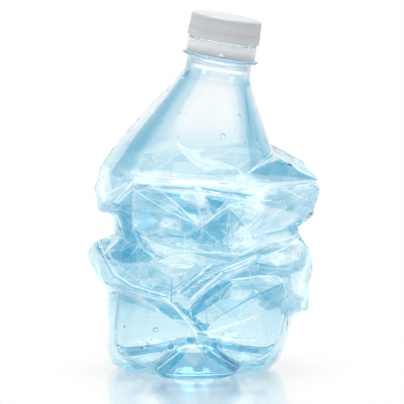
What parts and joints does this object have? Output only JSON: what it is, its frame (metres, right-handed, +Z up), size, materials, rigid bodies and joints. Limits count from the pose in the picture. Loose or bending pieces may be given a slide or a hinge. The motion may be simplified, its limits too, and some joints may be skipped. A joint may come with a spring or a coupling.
{
  "type": "crushed drink bottle",
  "caption": "Crushed clear blown bottle with a five-footed base, two buckled lobes, a leaning neck, a tamper ring and a screw cap.",
  "frame": {"origin": "centre of the box's footprint, on the surface the feet stand on", "axes": "+Z up from the feet towards the cap, -Y towards the front with the deep V fold, +X towards the side the neck leans to"},
  "size_m": [0.0984, 0.0876, 0.1529],
  "materials": {
    "clear_wall": "thin clear blown plastic with a light blue tint, glossy, creased white along the folds, wet with small droplets",
    "ring_plastic": "half-clear milky moulded plastic, satin",
    "cap_plastic": "light grey moulded plastic, satin, fine upright grip ribs"
  },
  "bodies": {
    "bottle": {"bottle": "clear_wall", "tamper_band": "ring_plastic"},
    "cap": {"cap": "cap_plastic"}
  },
  "joints": [
    {"name": "cap_lift", "type": "slide", "parent": "bottle", "child": "cap", "axis": [0.1685, 0, 0.9857], "range_m": [0, 0.02]}
  ]
}
